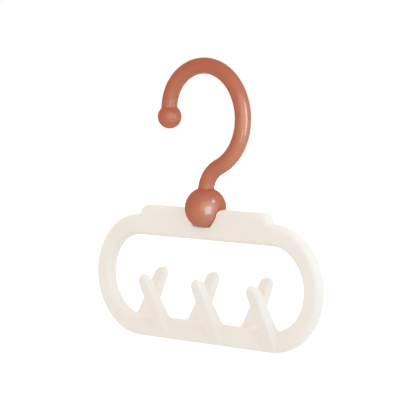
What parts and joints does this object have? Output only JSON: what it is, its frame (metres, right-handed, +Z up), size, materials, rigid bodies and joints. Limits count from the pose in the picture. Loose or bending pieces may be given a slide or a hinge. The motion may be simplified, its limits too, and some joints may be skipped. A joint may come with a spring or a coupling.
{
  "type": "multi-hook hanger",
  "caption": "Flat moulded hanger: a long oval ring with a saddle on top and leaning prongs along its bottom rail, hung from a swivelling hook that stands in a ball",
  "frame": {"origin": "top of the inside of the hook, where a rail bears, on the swivel axis", "axes": "+Z up along the swivel axis, X along the frame, Y through the frame's thickness, with the hook's mouth towards -X"},
  "size_m": [0.159, 0.0374, 0.1499],
  "materials": {
    "cream_plastic": "satin cream",
    "coral_plastic": "gloss coral",
    "pin_steel": "plain steel"
  },
  "bodies": {
    "hook_body": {"hook": "coral_plastic", "swivel_ball": "coral_plastic", "swivel_pin": "pin_steel"},
    "frame_body": {"frame": "cream_plastic"}
  },
  "joints": [
    {"name": "swivel", "type": "hinge", "parent": "hook_body", "child": "frame_body", "pos_m": [0, 0, -0.0797], "axis": [0, 0, 1], "continuous": true}
  ]
}
